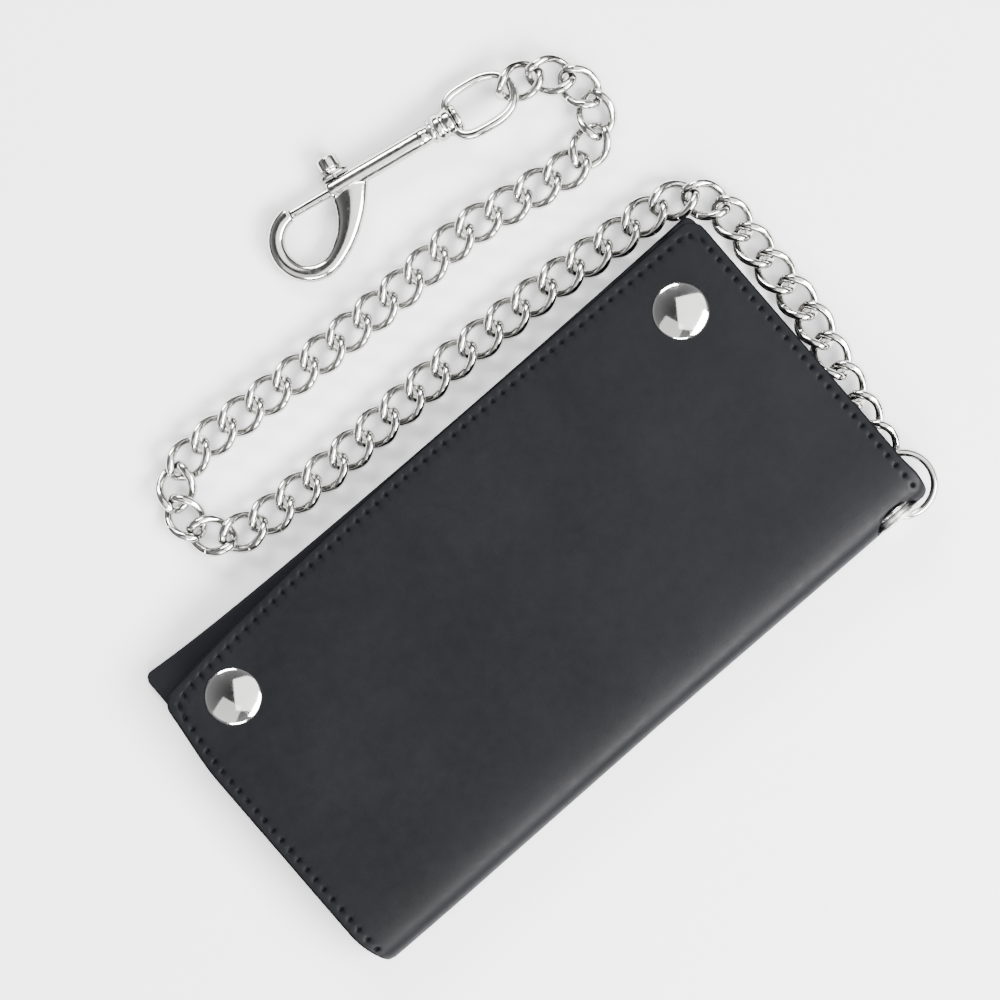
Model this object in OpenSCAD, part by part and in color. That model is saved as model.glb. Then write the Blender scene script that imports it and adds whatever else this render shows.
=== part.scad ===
// Chain wallet: a long bifold leather wallet closed by two snaps, with a curb
// chain on a ring through an eyelet in its fold and a swivel bolt snap hook.
// X runs along the fold, the free edge is toward +Y, Z is up and the table is
// z = 0. The origin is the centre of the back cover's outer face. The wallet is
// closed, and the chain lies round its corner and doubles back to the hook.

/* [Wallet] */
// Length along the fold
wallet_l = 185; // [184:0.5:186]
// Back cover's free edge, from the centre
back_edge = 47; // [46:0.5:48]
// Front cover's free edge, from the centre
front_edge = 46; // [44:0.5:46.5]
// Outside of the fold, from the centre
fold_out = 47; // [47:0.5:48]
// Thickness of the closed wallet, without the snap caps
wallet_h = 13; // [13:0.1:13.5]
// Thickness of the cover leather
cover_t = 2; // [1.8:0.1:2]
// Corner radius at the front cover's free edge
front_corner = 5; // [3:0.5:8]
// Corner radius at the back cover's free edge
back_corner = 2; // [1:0.5:5]

/* [Pockets] */
// Half length of the inner pieces
inner_x = 89; // [86:0.5:89]
// Inner pieces' edge beside the fold, from the centre
inner_fold = 24; // [20:0.5:26]
// Leather of an inner panel
panel_t = 0.8; // [0.6:0.1:0.9]
// Room behind a panel
pocket_gap = 0.4; // [0.3:0.1:0.6]
// Width of a panel's sewn edge
seam_w = 4; // [3:0.5:6]
// Step between one card pocket's mouth and the next
card_step = 11; // [9:0.5:11]
// Mouth of the first card pocket, from the centre
card_mouth = 22; // [20:0.5:22]
// Cut that clears the chain, from this x
chain_cut_x = 82; // [78:0.5:83]
// Cut that clears the chain, up to this y
chain_cut_y = -8; // [-10:0.5:-6]

/* [Snaps] */
// Left snap's x
snap_left_x = -77.5; // [-80:0.5:-72]
// Right snap's x
snap_right_x = 74; // [70:0.5:76]
// Snaps' y
snap_y = 30; // [29.5:0.5:32]
// Diameter of the cap
cap_d = 15; // [12:0.5:16]
// Height of the cap's dome
cap_h = 1.8; // [1.2:0.1:2.2]
// Diameter of the socket
socket_d = 12.6; // [11:0.2:12.6]
// Diameter of the stud's head
stud_head_d = 6.9; // [6.5:0.1:6.9]

/* [Eyelet and ring] */
// Eyelet's x in the fold
eyelet_x = 82; // [81.5:0.1:82.5]
// Eyelet's height above the table
eyelet_z = 6.4; // [6.2:0.1:6.6]
// Diameter of the eyelet's flange
eyelet_d = 12; // [11:0.5:12]
// Hole through the eyelet
eyelet_hole = 7.5; // [7:0.1:7.6]
// Ring's centreline radius
ring_r = 8.2; // [8:0.1:8.4]
// Ring's wire
ring_wire = 2; // [1.8:0.1:2]

/* [Chain] */
// Half length of a link's centreline
link_a = 5.9; // [5.8:0.05:6]
// Half width of a link's centreline
link_b = 4.35; // [4.3:0.05:4.5]
// Half twist of a link
link_twist = -48; // [-50:1:-46]
// Link wire
link_wire = 2.3; // [2:0.1:2.3]
// Distance from link to link
link_pitch = 8.8; // [8.7:0.05:8.9]

/* [Hook] */
// Barrel's diameter
barrel_d = 5.4; // [5:0.1:5.4]
// Swivel collar's diameter
collar_d = 7.6; // [7:0.1:7.6]
// Bail wire
bail_wire = 2.5; // [2.2:0.1:2.5]
// Bail's half width to its centreline
bail_w = 6.5; // [6:0.1:7]
// Bolt's diameter
bolt_d = 2.8; // [2.4:0.1:2.8]
// Jaw's centreline radius
jaw_r = 8.45; // [8.25:0.05:8.6]
// Jaw's thickness
jaw_d = 4.7; // [4.3:0.1:4.7]
// Thumb knob's diameter
knob_d = 6; // [5:0.1:6]

/* [Hidden] */
half_l = wallet_l / 2;
front_in = wallet_h - cover_t;
spine_in = fold_out - cover_t;
spine_end = half_l - 0.5;
spine_top = wallet_h - 4.1;
tab_top = wallet_h - 0.6;
tab_w = 15;
front_fold = spine_in - 2;
patch_top = cover_t + 1.5;
bill_top = cover_t + 1.6;
slip_top = bill_top + 1.4;
base_t = 1.3;
base_in = front_in - base_t;
panel_step = panel_t + pocket_gap;

// Snaps
post_d = 4;
stud_bore = 3.6;
stud_barrel_d = 3.4;
hole_play = 0.2;
socket_bore = stud_head_d + 0.5;
socket_floor = base_in - 1.1;
socket_rim = 6;
roll_t = 0.4;
stud_neck_d = 5.6;
stud_head_z = 6.6;
stud_head_t = 1.3;
stud_base_t = 0.8;
flange_t = 0.6;

// Eyelet and ring: the ring passes through the eyelet and round the fold's end
eyelet_barrel_d = 9;
eyelet_roll_d = 10;
washer_d = 11.5;
washer_t = 0.6;
ring_at = [eyelet_x + ring_r * cos(36.6), -fold_out + 1 + ring_r * sin(36.6), eyelet_z];

// Chain: each run is one node of [links, heading, climb, roll], laid end to end
chain_at = ring_at + (ring_r - 1.2) * [cos(77), sin(77), 0] + [0, 0, 0.15];
chain_runs = [
    [3, 78.5, -2.4, 15], [2, 77, -6.2, 6], [1, 88, -4.2, 0], [3, 88.5, 0, 0],
    [1, 119.5, 0, 0], [1, 160, 0, 0], [1, 177, 0, 0], [3, 174.5, 0, 0],
    [4, 177.5, 0, 0], [4, 181, 0, 0], [3, 177.5, 0, 0], [1, 166, 0, 0],
    [1, 126, 0, 0], [1, 86, 0, 0], [1, 45.5, 0, 0], [1, 5.5, 0, 0],
    [4, -4, 0, 0], [3, -1.5, 0, 0], [3, 1.5, 0, 0], [3, -10, 0, 0],
    [1, -9, 0, 0], [1, 18.5, 0, 0], [1, 58.5, 0, 0], [1, 99, 0, 0],
    [1, 135, 5, -6], [1, 169, 7, -15]
];
link_rings = 16;
link_sides = 6;

// Hook: x along its axis from the bail's outer end, y toward the jaw's side
hook_heading = 169.5;
hook_tilt = 1.89;
hook_grip = 3;
bail_roll = 15;
bail_near = bail_wire / 2 + bail_w;
bail_far = 20 - bail_near;
collar_x = [18.2, 23.7];
post_head_x = [16.2, 17.9];
post_head_d = 7;
pin_d = 3;
pin_play = 0.1;
head_play = 0.15;
plug_d = 3.16;
bore_d = 3.2;
barrel_x = [24, 55.5];
shoulder_d = 6.8;
plug_end = 28;
bolt_collar_x = [40, 41];
bolt_collar_d = 3;
bolt_tip = 67;
bolt_play = 0.06;
bolt_tail = 38;
knob_x = 52;
knob_neck_d = 1.8;
knob_flange_y = [3.1, 4];
knob_flange_l = 8;
knob_flange_w = 5.2;
knob_top = 8.5;
slot_x = [42, 53.2];
slot_w = 2.2;
jaw_at = [66.2, 8.1];
arm_top = [50.2, 1.2];
arm_top_r = 2.3;
arm_foot_r = 2.2;
arm_lap = 0.5;
jaw_lap = 2;
jaw_from = -80;
jaw_to = 180 + atan2(jaw_at.y - arm_top.y, jaw_at.x - arm_top.x) - acos(jaw_r / norm(jaw_at - arm_top));
web_t = 3.6;
web_outline = [
    [45, 0], [45.2, 4], [48.2, 7.8], [52, 12], [55.6, 14.5], [59, 15.4],
    [60.4, 13], [58, 10], [56.5, 7.6], [55.9, 4.6], [55.7, 0]
];
spring_r = 1.2;
spring_wire = 0.44;
spring_turns = 6;
spring_sides = 5;

// Colours
black = [0.06, 0.06, 0.07];
black_inner = [0.11, 0.11, 0.12];
steel = [0.82, 0.82, 0.84];
steel_dark = [0.62, 0.62, 0.65];

chain_names = [for (i = [1 : len(chain_runs)]) str("chain_", i < 10 ? "0" : "", i)];

// ---- helpers ----

function heading(h, c) = [cos(h) * cos(c), sin(h) * cos(c), sin(c)];
function run_vector(r) = r[0] * link_pitch * heading(r[1], r[2]);
function run_start(i) = i == 0 ? chain_at : run_start(i - 1) + run_vector(chain_runs[i - 1]);
function unit(v) = v / norm(v);

// A flat piece from the fold side to its free edge, with that edge's corners rounded
module sheet(x0, x1, y0, y1, z0, z1, r) {
    translate([0, 0, z0]) linear_extrude(z1 - z0) {
        translate([x0, y0]) square([x1 - x0, y1 - y0 - r]);
        translate([x0 + r, y0]) square([x1 - x0 - 2 * r, y1 - y0]);
        translate([x0 + r, y1 - r]) circle(r = r, $fn = 48);
        translate([x1 - r, y1 - r]) circle(r = r, $fn = 48);
    }
}

// The corner beside the eyelet, cut out of every inner piece for the chain
module chain_cut() {
    translate([chain_cut_x, -fold_out, 0]) cube([half_l, fold_out + chain_cut_y, wallet_h]);
}

// An inner panel sewn on three sides, open toward the free edge
module pocket(y1, z0, z1, gap_z) {
    difference() {
        sheet(-inner_x, inner_x, -inner_fold, y1, z0, z1, 1.5);
        translate([-inner_x + seam_w, -inner_fold + seam_w, gap_z])
            cube([chain_cut_x + inner_x - 2 * seam_w, y1 + inner_fold, pocket_gap]);
        chain_cut();
    }
}

// Two cylinders' ends joined: a straight round bar from p to q
module bar(p, q, r1, r2) {
    d = q - p;
    translate(p) rotate([0, acos(d.z / norm(d)), atan2(d.y, d.x)])
        cylinder(h = norm(d), r1 = r1, r2 = r2, $fn = 32);
}

// A cylinder along x
module along(x, d) {
    translate([x[0], 0, 0]) rotate([0, 90, 0]) cylinder(h = x[1] - x[0], d = d, $fn = 40);
}

module at_snap(side) {
    translate([side == "left" ? snap_left_x : snap_right_x, snap_y, 0]) children();
}

module disc(d, z0, z1) {
    translate([0, 0, z0]) cylinder(h = z1 - z0, d = d, $fn = 48);
}

module at_eyelet() {
    translate([eyelet_x, -fold_out, eyelet_z]) rotate([-90, 0, 0]) children();
}

module at_hook() {
    grip = run_start(len(chain_runs));
    translate(grip) rotate([0, hook_tilt, hook_heading]) translate([-hook_grip, 0, 0]) children();
}

// ---- covers ----

module back_cover() {
    color(black) difference() {
        sheet(-half_l, half_l, -spine_in, back_edge, 0, cover_t, back_corner);
        for (s = ["left", "right"]) at_snap(s) {
            disc(9 + hole_play, -1, flange_t);
            disc(stud_bore, -1, cover_t + 1);
        }
        at_eyelet() disc(washer_d + hole_play, cover_t - 0.5, cover_t + washer_t + roll_t + 0.1);
    }
}

// The strip that goes round the fold, higher where it carries the eyelet
module spine() {
    color(black) difference() {
        union() {
            translate([-half_l, -fold_out, 0]) cube([half_l + spine_end, cover_t, spine_top]);
            translate([eyelet_x - tab_w / 2, -fold_out, 0]) cube([tab_w, cover_t, tab_top]);
        }
        at_eyelet() disc(eyelet_barrel_d + 0.1, -1, cover_t + 1);
    }
}

module front_cover() {
    color(black) difference() {
        sheet(-half_l, half_l, -front_fold, front_edge, front_in, wallet_h, front_corner);
        for (s = ["left", "right"]) at_snap(s) disc(post_d + hole_play, 0, wallet_h + 1);
    }
}

// ---- inner pieces ----

module bill_pocket() {
    color(black_inner) pocket(18, cover_t, bill_top, cover_t);
}

module slip_pocket() {
    color(black_inner) pocket(2, bill_top, slip_top, bill_top);
}

module card_base() {
    color(black_inner) difference() {
        sheet(-inner_x, inner_x, -inner_fold, front_edge - 5, base_in, front_in, 3);
        for (s = ["left", "right"]) at_snap(s) disc(post_d + hole_play, 0, wallet_h);
        chain_cut();
    }
}

module card_pocket(i) {
    top = base_in - (i - 1) * panel_step;
    color(black_inner) pocket(card_mouth - (i - 1) * card_step, top - panel_step, top, top - pocket_gap);
}

// ---- snaps ----

module stud_patch(side) {
    color(black_inner) at_snap(side) difference() {
        translate([-8, -8, cover_t]) cube([16, 16, patch_top - cover_t]);
        disc(stud_bore, 0, wallet_h);
    }
}

// Back half of a snap: a flanged rivet from outside, rolled over in the stud
module stud_post(side) {
    color(steel) at_snap(side) {
        disc(9, 0, flange_t);
        disc(stud_barrel_d, 0, stud_head_z + 0.8);
        disc(4.4, stud_head_z + 0.8, stud_head_z + 1.1);
    }
}

module snap_stud(side) {
    color(steel) at_snap(side) difference() {
        union() {
            disc(10, patch_top, patch_top + stud_base_t);
            disc(stud_neck_d, patch_top, stud_head_z + 0.2);
            translate([0, 0, stud_head_z]) cylinder(h = 0.4, d1 = stud_neck_d, d2 = stud_head_d, $fn = 48);
            disc(stud_head_d, stud_head_z + 0.4, stud_head_z + stud_head_t);
        }
        disc(stud_bore, 0, wallet_h);
        disc(4.6, stud_head_z + 0.7, wallet_h);
    }
}

// Front half: the socket that takes the stud, held by the cap's post
module snap_socket(side) {
    color(steel_dark) at_snap(side) difference() {
        disc(socket_d, socket_rim, base_in);
        disc(socket_bore, 0, socket_floor);
        disc(post_d + 0.1, 0, wallet_h);
    }
}

module snap_cap(side) {
    dome_r = (cap_d * cap_d / 4 + cap_h * cap_h) / (2 * cap_h);
    color(steel) at_snap(side) {
        intersection() {
            translate([0, 0, wallet_h + cap_h - dome_r]) sphere(r = dome_r, $fn = 96);
            disc(cap_d, wallet_h, wallet_h + cap_h + 1);
        }
        disc(post_d, socket_floor, wallet_h + 0.5);
        disc(5.2, socket_floor - roll_t, socket_floor);
    }
}

// ---- eyelet and ring ----

module eyelet() {
    inside = cover_t + washer_t;
    color(steel) at_eyelet() difference() {
        union() {
            disc(eyelet_d, -flange_t, 0);
            disc(eyelet_barrel_d, -flange_t, inside);
            disc(eyelet_roll_d, inside, inside + roll_t);
        }
        disc(eyelet_hole, -2, inside + 2);
    }
}

module eyelet_washer() {
    color(steel) at_eyelet() difference() {
        disc(washer_d, cover_t, cover_t + washer_t);
        disc(eyelet_barrel_d + 0.1, 0, cover_t + 2);
    }
}

module chain_ring() {
    color(steel) translate(ring_at) rotate_extrude($fn = 64)
        translate([ring_r, 0]) circle(d = ring_wire, $fn = 24);
}

// ---- chain ----

// Centreline of a twisted link and its sections' directions, t going once round
function link_point(t) =
    let (f = link_twist * cos(t), y = link_b * sin(t))
    [link_a * cos(t), y * cos(f), y * sin(f)];
function link_up(t) = let (f = link_twist * cos(t)) [0, -sin(f), cos(f)];
function link_side(t) = unit(cross(link_point(t + 1) - link_point(t - 1), link_up(t)));

module curb_link() {
    points = [
        for (k = [0 : link_rings - 1], s = [0 : link_sides - 1])
        let (
            t = 360 * k / link_rings,
            w = 360 * s / link_sides,
            side = link_side(t),
            up = unit(cross(side, link_point(t + 1) - link_point(t - 1)))
        )
        link_point(t) + link_wire / 2 * (cos(w) * side + sin(w) * up)
    ];
    faces = [
        for (k = [0 : link_rings - 1], s = [0 : link_sides - 1], half = [0, 1])
        let (
            k2 = (k + 1) % link_rings,
            s2 = (s + 1) % link_sides,
            a = k * link_sides + s,
            b = k * link_sides + s2,
            c = k2 * link_sides + s2,
            d = k2 * link_sides + s
        )
        half == 0 ? [a, c, b] : [a, d, c]
    ];
    polyhedron(points = points, faces = faces);
}

module chain_run(i) {
    r = chain_runs[i];
    color(steel) for (k = [0 : r[0] - 1])
        translate(run_start(i) + (k + 0.5) * link_pitch * heading(r[1], r[2]))
            rotate([r[3], -r[2], r[1]]) curb_link();
}

// ---- hook ----

module swivel_bail() {
    color(steel) at_hook() rotate([bail_roll, 0, 0]) difference() {
        union() {
            translate([bail_near, 0, 0]) rotate_extrude(angle = 180, start = 90, $fn = 48)
                translate([bail_w, 0]) circle(d = bail_wire, $fn = 24);
            translate([bail_far, 0, 0]) rotate_extrude(angle = 180, start = -90, $fn = 48)
                translate([bail_w, 0]) circle(d = bail_wire, $fn = 24);
            for (y = [-bail_w, bail_w])
                bar([bail_near, y, 0], [bail_far, y, 0], bail_wire / 2, bail_wire / 2);
            along(collar_x, collar_d);
        }
        along([post_head_x[0] - 0.4, collar_x[0] - head_play], post_head_d + 2 * head_play);
        along([collar_x[0] - 2, collar_x[1] + 1], pin_d + pin_play);
    }
}

module swivel_post() {
    color(steel) at_hook() {
        along(post_head_x, post_head_d);
        along([post_head_x[0], plug_end], pin_d);
        along([barrel_x[0] + 0.2, plug_end], plug_d);
    }
}

module hook_body() {
    tangent = jaw_at + jaw_r * [cos(jaw_to), sin(jaw_to)];
    foot = tangent + arm_lap * unit(tangent - arm_top);
    color(steel) at_hook() difference() {
        union() {
            along(barrel_x, barrel_d);
            along([barrel_x[0], barrel_x[0] + 0.9], shoulder_d);
            bar([foot.x, foot.y, 0], [arm_top.x, arm_top.y, 0], arm_foot_r, arm_top_r);
            translate([jaw_at[0], jaw_at[1], 0])
                rotate_extrude(angle = jaw_to + jaw_lap - jaw_from, start = jaw_from, $fn = 48)
                translate([jaw_r, 0]) circle(d = jaw_d, $fn = 24);
            translate([0, 0, -web_t / 2]) linear_extrude(web_t) polygon(web_outline);
        }
        along([barrel_x[0] - 1, bolt_collar_x[1] + 0.2], bore_d);
        along([barrel_x[0], barrel_x[1] + 3], bolt_d + 2 * bolt_play);
        translate([slot_x[0], -barrel_d, -slot_w / 2]) cube([slot_x[1] - slot_x[0], barrel_d, slot_w]);
    }
}

module bolt() {
    color(steel_dark) at_hook() {
        along([bolt_collar_x[0], bolt_tip], bolt_d);
        along(bolt_collar_x, bolt_collar_d);
        along([bolt_tail, bolt_collar_x[0]], 1.3);
    }
}

// Knob riveted on the bolt: neck in the slot, an oblong saddle and a round top
module thumb_knob() {
    half = (knob_flange_l - knob_flange_w) / 2;
    color(steel) at_hook() translate([knob_x, 0, 0]) rotate([90, 0, 0]) {
        disc(knob_neck_d, bolt_d / 2 - 0.1, knob_flange_y[1]);
        translate([0, 0, knob_flange_y[0]]) linear_extrude(knob_flange_y[1] - knob_flange_y[0]) {
            translate([-half, -knob_flange_w / 2]) square([2 * half, knob_flange_w]);
            for (x = [-half, half]) translate([x, 0]) circle(d = knob_flange_w, $fn = 40);
        }
        disc(knob_d - 1, knob_flange_y[1], knob_top);
        disc(knob_d, knob_flange_y[1] + 1, knob_top - 0.6);
    }
}

// Compression spring between the post's plug and the bolt's collar
module bolt_spring() {
    steps = spring_turns * 12;
    x0 = plug_end + spring_wire / 2 + 0.05;
    x1 = bolt_collar_x[0] - spring_wire / 2 - 0.05;
    points = [
        for (k = [0 : steps], s = [0 : spring_sides - 1])
        let (t = 30 * k, w = 360 * s / spring_sides, r = spring_r + spring_wire / 2 * cos(w))
        [x0 + (x1 - x0) * k / steps + spring_wire / 2 * sin(w), r * cos(t), r * sin(t)]
    ];
    last = steps * spring_sides;
    sides = [
        for (k = [0 : steps - 1], s = [0 : spring_sides - 1], half = [0, 1])
        let (
            s2 = (s + 1) % spring_sides,
            a = k * spring_sides + s,
            b = k * spring_sides + s2,
            c = b + spring_sides,
            d = a + spring_sides
        )
        half == 0 ? [a, b, c] : [a, c, d]
    ];
    near = [[for (s = [spring_sides - 1 : -1 : 0]) s]];
    far = [[for (s = [0 : spring_sides - 1]) last + s]];
    color(steel_dark) at_hook() polyhedron(points = points, faces = concat(sides, near, far));
}

// ---- output ----

back_cover();
spine();
front_cover();
bill_pocket();
slip_pocket();
card_base();
card_pocket(1);  // card_pocket_1
card_pocket(2);  // card_pocket_2
card_pocket(3);  // card_pocket_3
stud_patch("left");  // stud_patch_left
stud_patch("right");  // stud_patch_right
stud_post("left");  // stud_post_left
stud_post("right");  // stud_post_right
snap_stud("left");  // snap_stud_left
snap_stud("right");  // snap_stud_right
snap_socket("left");  // snap_socket_left
snap_socket("right");  // snap_socket_right
snap_cap("left");  // snap_cap_left
snap_cap("right");  // snap_cap_right
eyelet();
eyelet_washer();
chain_ring();
for (i = [0 : len(chain_runs) - 1])
    chain_run(i);
swivel_bail();
swivel_post();
hook_body();
bolt();
thumb_knob();
bolt_spring();
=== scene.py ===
import math

import bmesh
import bpy
import numpy as np
from mathutils import Matrix, Vector


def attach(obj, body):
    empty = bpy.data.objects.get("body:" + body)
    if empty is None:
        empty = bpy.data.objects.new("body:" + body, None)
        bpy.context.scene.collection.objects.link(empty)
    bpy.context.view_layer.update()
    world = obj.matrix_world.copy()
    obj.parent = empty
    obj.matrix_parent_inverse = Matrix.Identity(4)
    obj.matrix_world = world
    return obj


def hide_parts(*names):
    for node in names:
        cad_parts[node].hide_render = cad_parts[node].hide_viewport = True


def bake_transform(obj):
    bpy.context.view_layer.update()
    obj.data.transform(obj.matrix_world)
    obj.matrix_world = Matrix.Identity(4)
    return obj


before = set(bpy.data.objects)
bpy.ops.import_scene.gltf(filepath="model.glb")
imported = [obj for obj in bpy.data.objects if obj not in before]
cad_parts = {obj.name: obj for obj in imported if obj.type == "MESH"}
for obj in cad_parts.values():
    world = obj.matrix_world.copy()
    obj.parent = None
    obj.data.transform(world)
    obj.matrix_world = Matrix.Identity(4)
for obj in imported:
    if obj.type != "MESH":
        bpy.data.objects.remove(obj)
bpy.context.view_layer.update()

MM = 0.001
HALF_L = 92.5
FOLD_Z = 7.0  # where the mid lines of the two halves meet
CORNER_FRONT, CORNER_BACK = 4.5, 2.5
GROOVE_DEPTH, GROOVE_WIDTH = 0.04, 0.6
HOLE_DEPTH, HOLE_WIDTH = 0.55, 0.46
SNAPS = {"left": (-77.5, 30.0), "right": (74.0, 30.0)}
EYELET = (82.0, -47.0, 6.4)
STITCH_PITCH = 3.3
STITCH_IN = 2.5

# ---- materials ----


class Nodes:
    """A material's node tree, built with short calls."""

    def __init__(self, name):
        self.mat = bpy.data.materials.new(name)
        self.mat.use_nodes = True
        self.tree = self.mat.node_tree
        self.shader = self.tree.nodes["Principled BSDF"]
        self.coord = self.tree.nodes.new("ShaderNodeTexCoord").outputs["Object"]

    def add(self, kind, **values):
        node = self.tree.nodes.new(kind)
        for key, value in values.items():
            if key in node.inputs:
                node.inputs[key].default_value = value
            else:
                setattr(node, key, value)
        return node

    def link(self, a, b):
        self.tree.links.new(a, b)
        return b

    def noise(self, scale, detail=3.0, rough=0.55):
        node = self.add("ShaderNodeTexNoise", Scale=scale, Detail=detail, Roughness=rough)
        self.link(self.coord, node.inputs["Vector"])
        return node.outputs["Fac"]

    def cells(self, scale):
        node = self.add("ShaderNodeTexVoronoi", Scale=scale, feature="SMOOTH_F1")
        self.link(self.coord, node.inputs["Vector"])
        return node.outputs["Distance"]

    def attribute(self, name):
        return self.add("ShaderNodeAttribute", attribute_name=name).outputs["Fac"]

    def ramp(self, fac, low, high, a=0.3, b=0.7):
        node = self.tree.nodes.new("ShaderNodeValToRGB")
        for stop, place, colour in zip(node.color_ramp.elements, (a, b), (low, high)):
            stop.position = place
            stop.color = (*colour, 1.0) if isinstance(colour, tuple) else (colour,) * 3 + (1.0,)
        self.link(fac, node.inputs["Fac"])
        return node.outputs["Color"]

    def mix(self, fac, a, b):
        node = self.tree.nodes.new("ShaderNodeMix")
        node.data_type = "RGBA"
        self.link(fac, node.inputs["Factor"])
        for value, socket in ((a, node.inputs[6]), (b, node.inputs[7])):
            if isinstance(value, tuple):
                socket.default_value = (*value, 1.0)
            else:
                self.link(value, socket)
        return node.outputs[2]

    def math(self, op, a, b):
        node = self.add("ShaderNodeMath", operation=op)
        for value, socket in ((a, node.inputs[0]), (b, node.inputs[1])):
            if isinstance(value, float):
                socket.default_value = value
            else:
                self.link(value, socket)
        return node.outputs[0]

    def bump(self, height, strength, distance):
        node = self.add("ShaderNodeBump", Strength=strength, Distance=distance)
        self.link(height, node.inputs["Height"])
        self.link(node.outputs["Normal"], self.shader.inputs["Normal"])

    def colour(self, socket):
        self.link(socket, self.shader.inputs["Base Color"])

    def rough(self, socket):
        self.link(socket, self.shader.inputs["Roughness"])


def leather(name, dark, light, rough, grain, depth):
    """Grained leather: paler with painted light on the back half's uncovered strip, dull and dark at its
    edges, and near black with painted shade in its awl holes.
    """
    n = Nodes(name)
    tone = n.ramp(n.noise(38.0, 4.0), dark, light)
    fleck = n.ramp(n.noise(2600.0, 2.0), 0.82, 1.0)
    mixed = n.add("ShaderNodeMix", data_type="RGBA", blend_type="MULTIPLY")
    mixed.inputs["Factor"].default_value = 1.0
    n.link(tone, mixed.inputs[6])
    n.link(fleck, mixed.inputs[7])
    edged = n.mix(n.attribute("edge"), mixed.outputs[2], tuple(c * 0.75 for c in dark))
    # painted light: the back half's uncovered strip is made paler, lifting it out of the front half's shade
    painted_strip_light = n.mix(n.attribute("painted_strip_light"), edged, tuple(c * 2.0 for c in light))
    # painted shade: the awl holes are coloured near black
    n.colour(n.mix(n.attribute("painted_hole_shade"), painted_strip_light, (0.0022, 0.0022, 0.0026)))
    sheen = n.ramp(n.noise(420.0, 3.0), rough - 0.05, rough + 0.07)
    n.rough(n.mix(n.attribute("edge"), sheen, (0.8, 0.8, 0.8)))
    pebble = n.math("ADD", n.cells(grain), n.noise(grain * 1.7, 3.0))
    n.bump(pebble, 0.3, depth)
    dull = n.math("MAXIMUM", n.attribute("painted_hole_shade"), n.attribute("edge"))
    n.link(n.ramp(dull, 0.14, 0.02, 0.05, 0.6), n.shader.inputs["Specular IOR Level"])
    return n.mat


def metal(name, dark, light, rough, scratch, painted_side_shade=0.22):
    """Plated metal with painted shade: faces that don't look up in the piece's own frame get a darker base
    colour, scaled by the side shade factor.
    """
    n = Nodes(name)
    n.shader.inputs["Metallic"].default_value = 1.0
    split = n.add("ShaderNodeSeparateXYZ")
    n.link(n.tree.nodes["Texture Coordinate"].outputs["Normal"], split.inputs[0])
    plated = n.ramp(n.noise(160.0, 4.0), dark, light)
    # painted shade: sides and undersides are coloured darker than faces that look up
    painted_light_by_facing = n.ramp(split.outputs["Z"], 0.0, 1.0, 0.12, 0.62)
    n.colour(n.mix(painted_light_by_facing, tuple(c * painted_side_shade for c in dark), plated))
    n.rough(n.ramp(n.noise(900.0, 5.0), rough * 0.7, rough * 1.4))
    n.bump(n.noise(2400.0, 4.0), scratch, 0.00004)
    return n.mat


def waxed_thread(name):
    n = Nodes(name)
    n.colour(n.ramp(n.noise(1500.0, 2.0), (0.004, 0.004, 0.005), (0.008, 0.008, 0.0095)))
    n.shader.inputs["Specular IOR Level"].default_value = 0.1
    n.rough(n.ramp(n.noise(2500.0), 0.7, 0.9))
    n.bump(n.noise(5200.0, 2.0), 0.5, 0.00008)
    return n.mat


MATS = {
    "cover": leather("cover_leather", (0.0042, 0.0044, 0.0054), (0.0068, 0.007, 0.0086),
                     0.42, 1500.0, 0.00005),
    "inner": leather("inner_leather", (0.012, 0.012, 0.013), (0.019, 0.019, 0.021),
                     0.62, 1100.0, 0.0001),
    "thread": waxed_thread("waxed_thread"),
    "bright": metal("bright_metal", (0.70, 0.69, 0.665), (0.84, 0.83, 0.80), 0.13, 0.12),
    "mirror": metal("cap_metal", (0.8, 0.795, 0.775), (0.9, 0.89, 0.87), 0.08, 0.05, 0.8),
    "satin": metal("eyelet_metal", (0.86, 0.855, 0.84), (0.94, 0.935, 0.92), 0.36, 0.05, 0.9),
    "plain": metal("plain_metal", (0.50, 0.50, 0.52), (0.64, 0.64, 0.66), 0.3, 0.3),
}

# ---- mesh tools, all in millimetres ----


def build(name, verts, faces, mat, body=None, replaces=(), sharp=None, values=None):
    """A piece from vertices in mm. values are per-vertex numbers kept as attributes, by name."""
    mesh = bpy.data.meshes.new(name)
    mesh.from_pydata([tuple(v) for v in np.asarray(verts) * MM], [], [tuple(f) for f in faces])
    for key, data in (values or {}).items():
        mesh.attributes.new(key, "FLOAT", "POINT").data.foreach_set("value", np.asarray(data, np.float32))
    bm = bmesh.new()
    bm.from_mesh(mesh)
    bmesh.ops.remove_doubles(bm, verts=bm.verts, dist=2e-7)
    bmesh.ops.dissolve_degenerate(bm, edges=bm.edges, dist=1e-8)
    bmesh.ops.recalc_face_normals(bm, faces=bm.faces)
    limit = math.radians(sharp or 50)
    for edge in bm.edges:
        if len(edge.link_faces) == 2 and edge.calc_face_angle(0) > limit:
            edge.smooth = False
    for face in bm.faces:
        face.smooth = True
    bm.to_mesh(mesh)
    bm.free()
    obj = bpy.data.objects.new(name, mesh)
    bpy.context.collection.objects.link(obj)
    mesh.materials.append(MATS[mat])
    if replaces:
        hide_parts(*replaces)
    if body:
        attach(obj, body)
    return obj


def modified(obj, *mods):
    """Applies modifiers, given as (type, {settings}), to the mesh."""
    for kind, settings in mods:
        mod = obj.modifiers.new(kind, kind)
        for key, value in settings.items():
            setattr(mod, key, value)
    dg = bpy.context.evaluated_depsgraph_get()
    made = bpy.data.meshes.new_from_object(obj.evaluated_get(dg))
    old = obj.data
    obj.modifiers.clear()
    obj.data = made
    bpy.data.meshes.remove(old)
    for polygon in made.polygons:
        polygon.use_smooth = True


def rot(axis, degrees):
    return np.array(Matrix.Rotation(math.radians(degrees), 3, axis))


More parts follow.
